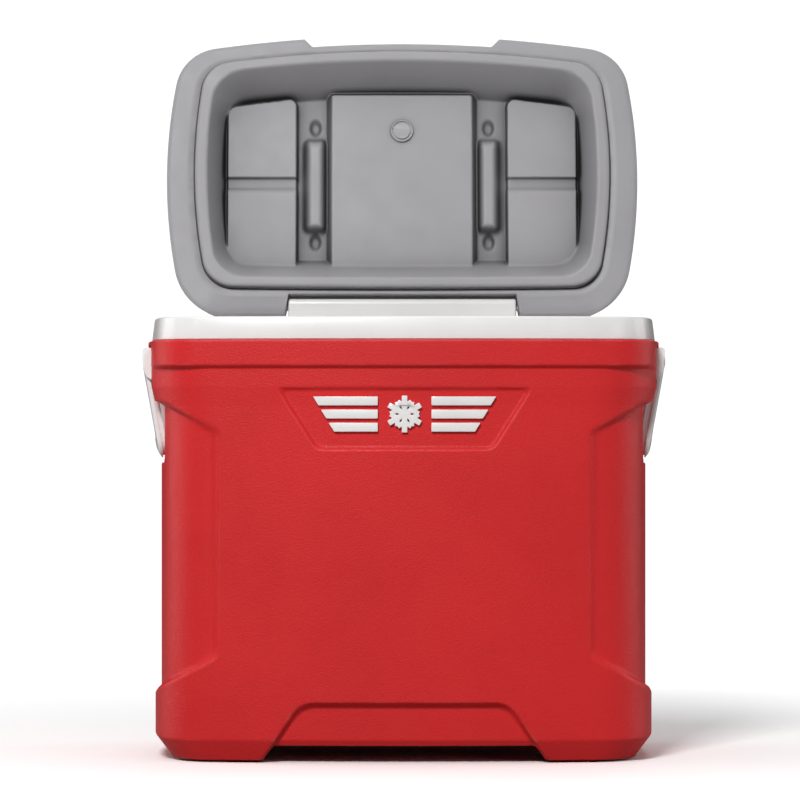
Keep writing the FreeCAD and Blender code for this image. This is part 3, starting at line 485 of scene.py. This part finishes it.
def side_curves(size, x_along, y_along):
    """The four sides of an outline, each from corner middle to corner middle, in the closed lid's plan."""
    curves = []
    for radius, turned in ((FRONT_CROWN_RADIUS, 1), (REAR_CROWN_RADIUS, -1)):
        lengths = arc_lengths(size, radius)
        reach = lengths[0] + lengths[1] / 2
        x, y = quarter_points(size, radius, *quarter_places(size, radius, np.abs(x_along) * reach))
        curves.append(np.stack([x * np.sign(x_along), y * turned + RIDGE_Y], axis=-1))
        down = lengths.sum() - np.abs(y_along) * (lengths.sum() - reach)
        x, y = quarter_points(size, radius, *quarter_places(size, radius, down))
        curves.append(np.stack([x, y * turned + RIDGE_Y], axis=-1))
    front, front_side, rear, rear_side = curves
    right = np.where((y_along < 0)[:, None], front_side, rear_side)
    return front, rear, right * (-1, 1), right


def outline_loop(size, x_along, y_along):
    """Once round an outline, starting at its left front corner."""
    front, rear, left, right = side_curves(size, x_along, y_along)
    return np.concatenate([front[:-1], right[:-1], rear[:0:-1], left[:0:-1]])


def mirrored(half):
    """Places on both sides of the middle, from those on one side."""
    return np.concatenate([-half[:0:-1], half])


def lid_tray():
    """Grey tray of the lid: a straight grid over its pads, then rings to the ridge and down its outside."""
    fine_x = [(0.062, 0.107), (0.163, STRAIGHT_X)]
    fine_y = [(0.0, 0.012), (0.036, 0.07), (0.074, STRAIGHT_Y)]
    line_x = mirrored(spaced(STRAIGHT_X, TRAY_FINE, TRAY_COARSE, fine_x, TRAY_BORDER))
    line_y = mirrored(spaced(STRAIGHT_Y, TRAY_FINE, TRAY_COARSE, fine_y, TRAY_BORDER))
    plan = np.stack(np.meshgrid(line_x, line_y + RIDGE_Y), axis=-1)
    rows, across, _ = plan.shape
    height = tray_height(plan[..., 0], plan[..., 1])
    grid = np.concatenate([plan, TRAY_FLOOR_Z - height[..., None]], axis=-1).reshape(-1, 3)
    vertices = opened(grid).tolist()
    faces = []
    for row in range(rows - 1):
        for column in range(across - 1):
            here = row * across + column
            faces.append((here, here + across, here + across + 1, here + 1))
    border = [(0, column) for column in range(across - 1)]
    border += [(row, across - 1) for row in range(rows - 1)]
    border += [(rows - 1, column) for column in range(across - 1, 0, -1)]
    border += [(row, 0) for row in range(rows - 1, 0, -1)]
    last = [row * across + column for row, column in border]
    start = grid[last, :2]
    places = (line_x / STRAIGHT_X, line_y / STRAIGHT_Y)
    end = outline_loop(shrunk(RIDGE, RIDGE_ROUND), *places)
    rings = []
    for share in np.linspace(0, 1, TRAY_RINGS + 1)[1:]:
        ring = start + (end - start) * share
        height = tray_height(ring[:, 0], ring[:, 1])
        rings.append(np.column_stack([ring, TRAY_FLOOR_Z - height]))
    steps = []
    for turn in np.radians([20, 40, 60, 80, 90]):
        steps.append((CREST_ROUND * math.sin(turn), CREST_ROUND * (1 - math.cos(turn))))
    steps += [(0.0036, 0.006), (RIDGE_ROUND, CREST - FLANGE + 0.0022)]
    for out, drop in steps:
        ring = outline_loop(shrunk(RIDGE, RIDGE_ROUND - out), *places)
        rings.append(np.column_stack([ring, np.full(len(ring), TRAY_FLOOR_Z - CREST + drop)]))
    for ring in rings:
        here = list(range(len(vertices), len(vertices) + len(ring)))
        vertices += opened(ring).tolist()
        for index in range(len(here)):
            beside = (index + 1) % len(here)
            faces.append((last[index], last[beside], here[beside], here[index]))
        last = here
    tray = new_piece("lid_tray", vertices, faces)
    wall = tray.modifiers.new("wall", "SOLIDIFY")
    wall.thickness = TRAY_WALL
    wall.offset = -1
    return tray


def lid_shell_ring(columns, size, z, inset=0.0):
    """One ring of the lid shell with the rear notch, the finger notch and the rounded heel worked in."""
    x, y = column_points(columns, size)
    z = np.full_like(x, z)
    notch_start, notch_end = FINGER_NOTCH_X
    finger = np.clip((notch_end + inset - np.abs(x)) / (notch_end - notch_start), 0, 1)
    finger = finger * (y < 0) * smooth_step(FINGER_NOTCH_TOP + inset - z, 0.002)
    _, edge_y = column_points(columns, shrunk(LID_EDGE, FINGER_NOTCH_DEPTH + inset))
    y = np.where(y < 0, np.maximum(y, y + (edge_y - y) * finger), y)
    notch = smooth_step(NOTCH_HALF_WIDTH + inset - np.abs(x), 0.0012) * (y > 0)
    y = np.where(y > 0, np.minimum(y, y + (NOTCH_Y - inset - y) * notch), y)
    hinge_y = lid_hinge["pos_m"][1] - MIDDLE_Y
    hinge_z = lid_hinge["pos_m"][2]
    reach = np.hypot(y - hinge_y, z - hinge_z)
    heel = (y > hinge_y) & (z < hinge_z) & (reach > HEEL_RADIUS - inset)
    pull = np.where(heel, (HEEL_RADIUS - inset) / np.maximum(reach, 1e-6), 1)
    return np.stack([x, hinge_y + (y - hinge_y) * pull, hinge_z + (z - hinge_z) * pull], axis=-1)


def lid_shell():
    """Grey shell of the lid: inside, hole for the tray, flange, outer wall and top."""
    columns = outline_columns(LID_EDGE, 0.0012, 0.004, [(0.082, 0.097), (0.107, 0.113)], 0.003)
    shift = (0, RIDGE_Y, 0)
    inner_z = FLANGE_Z + LID_WALL
    rings = []

    def across(start, end, z, count, inset):
        for share in np.linspace(0, 1, count):
            size = tuple(a + (b - a) * share for a, b in zip(start, end))
            rings.append(lid_shell_ring(columns, size, z, inset))

    small = (0.02, 0.012, 0.008, 0.008)
    inner_top = shrunk(LID_CROWN, LID_CROWN_ROUND)
    side_top = LID_TOP_Z - LID_CROWN_ROUND
    across(small, inner_top, LID_TOP_Z - LID_WALL, 8, LID_WALL)
    for angle in (30, 60, 90):
        turn = math.radians(angle)
        size = shrunk(LID_CROWN, LID_INNER_ROUND * (1 - math.sin(turn)) + LID_WALL)
        rings.append(lid_shell_ring(columns, size, side_top + LID_INNER_ROUND * math.cos(turn), LID_WALL))
    rings.append(lid_shell_ring(columns, shrunk(LID_EDGE, LID_WALL), inner_z + 0.001, LID_WALL))
    rings.append(level_ring(columns, RIDGE, inner_z) + shift)
    rings.append(level_ring(columns, RIDGE, FLANGE_Z + TRAY_GAP) + shift)
    start = level_ring(columns, shrunk(RIDGE, -TRAY_GAP), FLANGE_Z) + shift
    rings.append(start)
    end = lid_shell_ring(columns, shrunk(LID_EDGE, FLANGE_ROUND), FLANGE_Z)
    for share in (0.33, 0.67):
        rings.append(start + (end - start) * share)
    rings.append(end)
    for angle in (15, 30, 45, 60, 75, 90):
        turn = math.radians(angle)
        size = shrunk(LID_EDGE, FLANGE_ROUND * (1 - math.sin(turn)))
        rings.append(lid_shell_ring(columns, size, FLANGE_Z + FLANGE_EDGE * (1 - math.cos(turn))))
    for share in np.linspace(0.1, 1, 12):
        size = tuple(a + (b - a) * share * LID_SIDE_LEAN for a, b in zip(LID_EDGE, LID_CROWN))
        z = FLANGE_Z + FLANGE_EDGE + (side_top - FLANGE_Z - FLANGE_EDGE) * share
        rings.append(lid_shell_ring(columns, size, z))
    top = tuple(a + (b - a) * LID_SIDE_LEAN for a, b in zip(LID_EDGE, LID_CROWN))
    for angle in range(10, 91, 10):
        turn = math.radians(angle)
        size = shrunk(top, LID_CROWN_ROUND * (1 - math.cos(turn)))
        rings.append(lid_shell_ring(columns, size, side_top + LID_CROWN_ROUND * math.sin(turn)))
    across(shrunk(top, LID_CROWN_ROUND + 0.003), small, LID_TOP_Z, 12, 0.0)
    return ring_piece("grey_lid_shell", opened(np.array(rings)))


def node_tree(name):
    """New material with its nodes, shader and object coordinates."""
    material = bpy.data.materials.new(name)
    material.use_nodes = True
    nodes = material.node_tree.nodes
    place = nodes.new("ShaderNodeTexCoord")
    return material, nodes, material.node_tree.links, nodes["Principled BSDF"], place.outputs["Object"]


def noise(nodes, links, place, scale, detail=3.0, roughness=0.55, stretch=(1, 1, 1)):
    """Noise texture in metres of the object's own frame; returns its factor."""
    mapping = nodes.new("ShaderNodeMapping")
    mapping.inputs["Scale"].default_value = stretch
    links.new(place, mapping.inputs["Vector"])
    texture = nodes.new("ShaderNodeTexNoise")
    texture.inputs["Scale"].default_value = scale
    texture.inputs["Detail"].default_value = detail
    texture.inputs["Roughness"].default_value = roughness
    links.new(mapping.outputs["Vector"], texture.inputs["Vector"])
    return texture.outputs["Fac"]


def remap(nodes, links, value, low, high, new_low, new_high):
    """Value mapped from one range to another and held within it."""
    node = nodes.new("ShaderNodeMapRange")
    for name, number in zip(("From Min", "From Max", "To Min", "To Max"), (low, high, new_low, new_high)):
        node.inputs[name].default_value = number
    links.new(value, node.inputs["Value"])
    return node.outputs["Result"]


def blend(nodes, links, share, first, second):
    """Mix of two colours, each a colour or a socket."""
    node = nodes.new("ShaderNodeMix")
    node.data_type = "RGBA"
    links.new(share, node.inputs["Factor"])
    for socket, colour in (("A", first), ("B", second)):
        target = [item for item in node.inputs if item.name == socket and item.type == "RGBA"][0]
        if isinstance(colour, tuple):
            target.default_value = (*colour, 1)
        else:
            links.new(colour, target)
    return [item for item in node.outputs if item.type == "RGBA"][0]


def product(nodes, links, first, second):
    """Product of two values."""
    node = nodes.new("ShaderNodeMath")
    node.operation = "MULTIPLY"
    links.new(first, node.inputs[0])
    links.new(second, node.inputs[1])
    return node.outputs[0]


def total(nodes, links, first, second, share):
    """First value plus a share of the second."""
    node = nodes.new("ShaderNodeMath")
    node.operation = "MULTIPLY_ADD"
    links.new(second, node.inputs[0])
    node.inputs[1].default_value = share
    links.new(first, node.inputs[2])
    return node.outputs[0]


def shaded_in_hollows(nodes, links, tone, colour, reach, depth):
    """Painted shade: colour that darkens in deep corners, where shade falls."""
    hollow = nodes.new("ShaderNodeAmbientOcclusion")
    hollow.samples = 12
    hollow.inputs["Distance"].default_value = reach
    share = remap(nodes, links, hollow.outputs["AO"], 0.40, 0.97, depth, 0)
    return blend(nodes, links, share, tone, tuple(0.05 * value for value in colour))


def plastic(name, colour, worn, roughness, grain, relief, shine=0.5, coat=0.0, hollow_shade=0.0):
    """Moulded plastic: mottled colour, rubbed edges, painted shade in creases and, when asked, in deep hollows,
    and a pebble grain of the given size and relief.
    """
    material, nodes, links, shader, place = node_tree(name)
    broad = noise(nodes, links, place, 7.0, 4.0)
    cloud = noise(nodes, links, place, 45.0, 4.0, 0.6)
    darker = tuple(0.94 * value for value in colour)
    lighter = tuple(min(1.0, 1.04 * value) for value in colour)
    tone = blend(nodes, links, remap(nodes, links, broad, 0.35, 0.65, 0, 1), darker, lighter)
    tone = blend(nodes, links, remap(nodes, links, cloud, 0.40, 0.72, 0, 0.45), tone, colour)
    shape = nodes.new("ShaderNodeNewGeometry")
    edge = remap(nodes, links, shape.outputs["Pointiness"], 0.515, 0.56, 0, 1)
    rub = product(nodes, links, edge, remap(nodes, links, cloud, 0.42, 0.62, 0.15, 0.8))
    tone = blend(nodes, links, rub, tone, worn)
    # Painted shade: concave creases darkened towards 0.55 of the colour
    crease_shade = remap(nodes, links, shape.outputs["Pointiness"], 0.42, 0.485, 0.35, 0)
    tone = blend(nodes, links, crease_shade, tone, tuple(0.55 * value for value in colour))
    # Painted shade: the colour is darkened where ambient occlusion finds deep hollows
    if hollow_shade:
        tone = shaded_in_hollows(nodes, links, tone, colour, HOLLOW_SHADE_REACH, hollow_shade)
    links.new(tone, shader.inputs["Base Color"])
    scuff = noise(nodes, links, place, 120.0, 5.0, 0.7, (1, 1, 0.18))
    matt = remap(nodes, links, cloud, 0.3, 0.7, roughness - 0.05, roughness + 0.05)
    links.new(total(nodes, links, matt, scuff, 0.08), shader.inputs["Roughness"])
    cells = nodes.new("ShaderNodeTexVoronoi")
    cells.feature = "SMOOTH_F1"
    cells.inputs["Scale"].default_value = 1 / grain
    cells.inputs["Smoothness"].default_value = 0.6
    links.new(place, cells.inputs["Vector"])
    fine = noise(nodes, links, place, 1.4 / grain, 4.0, 0.6)
    height = total(nodes, links, cells.outputs["Distance"], fine, 0.9)
    bump = nodes.new("ShaderNodeBump")
    bump.inputs["Strength"].default_value = 1.0
    bump.inputs["Distance"].default_value = relief
    links.new(height, bump.inputs["Height"])
    wave = nodes.new("ShaderNodeBump")
    wave.inputs["Strength"].default_value = 0.35
    wave.inputs["Distance"].default_value = 0.0006
    links.new(noise(nodes, links, place, 16.0, 2.0), wave.inputs["Height"])
    links.new(wave.outputs["Normal"], bump.inputs["Normal"])
    links.new(bump.outputs["Normal"], shader.inputs["Normal"])
    shader.inputs["Coat Weight"].default_value = coat
    shader.inputs["Coat Roughness"].default_value = 0.12
    shader.inputs["IOR"].default_value = 1.5
    shader.inputs["Specular IOR Level"].default_value = shine
    return material


def steel(name):
    """Stainless steel with fine turning marks."""
    material, nodes, links, shader, place = node_tree(name)
    shader.inputs["Metallic"].default_value = 1.0
    marks = noise(nodes, links, place, 900.0, 4.0, 0.6, (1, 0.1, 1))
    tone = blend(nodes, links, marks, (0.50, 0.50, 0.51), (0.66, 0.66, 0.66))
    links.new(tone, shader.inputs["Base Color"])
    links.new(remap(nodes, links, marks, 0.3, 0.7, 0.24, 0.42), shader.inputs["Roughness"])
    bump = nodes.new("ShaderNodeBump")
    bump.inputs["Distance"].default_value = 0.00004
    links.new(marks, bump.inputs["Height"])
    links.new(bump.outputs["Normal"], shader.inputs["Normal"])
    return material


def foam(name):
    """Pale closed-cell foam with its pores."""
    material, nodes, links, shader, place = node_tree(name)
    pores = nodes.new("ShaderNodeTexVoronoi")
    pores.inputs["Scale"].default_value = 420.0
    links.new(place, pores.inputs["Vector"])
    pore = remap(nodes, links, pores.outputs["Distance"], 0.1, 0.6, 0, 1)
    tone = blend(nodes, links, pore, (0.70, 0.60, 0.38), (0.86, 0.79, 0.58))
    links.new(tone, shader.inputs["Base Color"])
    links.new(remap(nodes, links, pore, 0, 1, 0.95, 0.8), shader.inputs["Roughness"])
    bump = nodes.new("ShaderNodeBump")
    bump.inputs["Distance"].default_value = 0.0006
    links.new(pore, bump.inputs["Height"])
    links.new(bump.outputs["Normal"], shader.inputs["Normal"])
    return material


def soften(node, width, material):
    """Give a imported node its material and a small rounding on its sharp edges."""
    mesh = node.data
    mesh.materials.clear()
    mesh.materials.append(material)
    weld = node.modifiers.new("weld", "WELD")
    weld.merge_threshold = 0.000002
    bevel = node.modifiers.new("rounding", "BEVEL")
    bevel.width = width
    bevel.segments = 2
    bevel.limit_method = "ANGLE"
    bevel.angle_limit = math.radians(40)
    bevel.harden_normals = False


def make_camera():
    """Long lens straight ahead, a little left of and below the lid, as a catalogue picture is taken."""
    data = bpy.data.cameras.new("camera")
    data.lens = 186.5
    data.sensor_width = 36.0
    data.shift_x = 0.039
    data.shift_y = 0.0375
    data.clip_end = 50.0
    camera = bpy.data.objects.new("camera", data)
    bpy.context.scene.collection.objects.link(camera)
    camera.location = (-0.032, MIDDLE_Y - 3.846, 0.2992)
    camera.rotation_euler = (math.radians(90), 0, 0)
    bpy.context.scene.camera = camera


def soft_light(name, place, target, size, power):
    """Square soft box at a place, facing a target."""
    data = bpy.data.lights.new(name, "AREA")
    data.shape = "SQUARE"
    data.size = size
    data.energy = power
    light = bpy.data.objects.new(name, data)
    bpy.context.scene.collection.objects.link(light)
    light.location = place
    aim = np.array(target) - np.array(place)
    flat = math.hypot(aim[0], aim[1])
    light.rotation_euler = (math.atan2(flat, -aim[2]), 0, math.atan2(-aim[0], aim[1]))


def make_stage():
    """White floor and white surroundings, which look brighter than the light they give."""
    mesh = bpy.data.meshes.new("floor")
    mesh.from_pydata([(-6, -6, 0), (6, -6, 0), (6, 6, 0), (-6, 6, 0)], [], [(0, 1, 2, 3)])
    floor = bpy.data.objects.new("floor", mesh)
    bpy.context.scene.collection.objects.link(floor)
    mesh.materials.append(floor_material())
    world = bpy.data.worlds.new("studio")
    bpy.context.scene.world = world
    world.use_nodes = True
    nodes = world.node_tree.nodes
    links = world.node_tree.links
    nodes["Background"].inputs["Color"].default_value = (1, 1, 1, 1)
    nodes["Background"].inputs["Strength"].default_value = 0.04
    shown = nodes.new("ShaderNodeBackground")
    shown.inputs["Color"].default_value = (1, 1, 1, 1)
    shown.inputs["Strength"].default_value = 1.1
    mix = nodes.new("ShaderNodeMixShader")
    links.new(nodes.new("ShaderNodeLightPath").outputs["Is Camera Ray"], mix.inputs["Fac"])
    links.new(nodes["Background"].outputs["Background"], mix.inputs[1])
    links.new(shown.outputs["Background"], mix.inputs[2])
    links.new(mix.outputs["Shader"], nodes["World Output"].inputs["Surface"])
    bpy.context.scene.view_settings.view_transform = "Standard"


def floor_material():
    """White floor that shows the shadow close to the object and is plain white further out."""
    material = bpy.data.materials.new("floor_white")
    material.use_nodes = True
    nodes = material.node_tree.nodes
    links = material.node_tree.links
    shader = nodes["Principled BSDF"]
    shader.inputs["Roughness"].default_value = 0.9
    seen = nodes.new("ShaderNodeLightPath").outputs["Is Camera Ray"]
    tone = blend(nodes, links, seen, (0.35, 0.35, 0.35), (1.25, 1.25, 1.25))
    links.new(tone, shader.inputs["Base Color"])
    place = nodes.new("ShaderNodeTexCoord")
    middle = nodes.new("ShaderNodeVectorMath")
    middle.operation = "LENGTH"
    links.new(place.outputs["Object"], middle.inputs[0])
    far = remap(nodes, links, middle.outputs["Value"], 0.45, 1.1, 0, 1)
    white = nodes.new("ShaderNodeEmission")
    white.inputs["Strength"].default_value = 1.1
    mix = nodes.new("ShaderNodeMixShader")
    links.new(product(nodes, links, far, seen), mix.inputs["Fac"])
    links.new(shader.outputs["BSDF"], mix.inputs[1])
    links.new(white.outputs["Emission"], mix.inputs[2])
    links.new(mix.outputs["Shader"], nodes["Material Output"].inputs["Surface"])
    return material


def make_lights():
    """Large soft boxes: a high key in front, a little to the left, with weak light from the other sides."""
    soft_light("key", (-0.72, -2.8, 2.2), (0, 0, 0.35), 0.8, 88)
    soft_light("fill", (1.9, -2.2, 0.8), (0, 0, 0.3), 1.2, 5)
    soft_light("overhead", (0, 0.1, 2.4), (0, 0, 0), 2.2, 16)
    soft_light("left", (-2.6, 0.5, 0.7), (0, 0, 0.3), 1.6, 22)
    soft_light("right", (2.6, 0.5, 0.7), (0, 0, 0.3), 1.6, 18)
    soft_light("back", (0.4, 2.6, 1.6), (0, 0, 0.35), 1.8, 10)


make_camera()
make_stage()
make_lights()

red = plastic("red_polyethylene", RED, RED_WORN, roughness=0.42, grain=0.0013, relief=0.00022, shine=0.3)
white = plastic("white_plastic", WHITE, WHITE_WORN, roughness=0.30, grain=0.0016, relief=0.00002, coat=0.3)
satin = {"roughness": 0.42, "grain": 0.0008, "relief": 0.00003, "shine": 0.3}
grey = plastic("grey_plastic", GREY, GREY_WORN, **satin)
# The tray's grey gets painted shade in its hollows
grey_tray = plastic("grey_tray_plastic", GREY, GREY_WORN, **satin, hollow_shade=1.0)
metal = steel("stainless_steel")
foamed = foam("poured_foam")

shell = body_shell()
shell.data.materials.append(red)
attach(shell, "body")
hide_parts("body_shell")

tray = lid_tray()
tray.data.materials.append(grey_tray)
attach(tray, "lid")
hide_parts("lid_liner")

cover = lid_shell()
cover.data.materials.append(grey)
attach(cover, "lid")
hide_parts("lid_shell")

slots = {"white_liner": white, "white_trim": white, "grey_lid": grey, "steel": metal, "foam": foamed}
for subpart in frame["record"]["subparts"]:
    name = subpart["node"]
    if name not in ("body_shell", "lid_liner", "lid_shell"):
        soften(frame["nodes"][name], EDGE_SOFTNESS, slots[subpart["material_slot"]])
